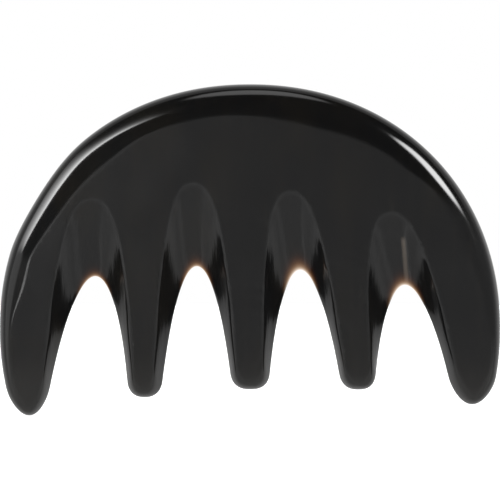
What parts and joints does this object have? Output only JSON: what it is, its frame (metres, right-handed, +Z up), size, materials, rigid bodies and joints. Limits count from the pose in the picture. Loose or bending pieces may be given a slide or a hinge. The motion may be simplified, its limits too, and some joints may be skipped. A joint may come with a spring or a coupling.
{
  "type": "beard comb",
  "caption": "Half-moon pocket comb with wide tapering teeth, scalloped gaps and a rounded rim, in one piece of polished black horn.",
  "frame": {"origin": "under the middle of the comb, level with its lowest tooth tip, in the middle plane of its thickness", "axes": "+X along the comb from tooth 1 to tooth 5, +Y through its thickness to the back face, +Z up from the tips to the crown of the rim"},
  "size_m": [0.105, 0.0094, 0.0695],
  "materials": {
    "horn": "polished black horn, amber where it is thin"
  },
  "bodies": {
    "root": {"back": "horn", "tooth_1": "horn", "tooth_2": "horn", "tooth_3": "horn", "tooth_4": "horn", "tooth_5": "horn"}
  },
  "joints": []
}
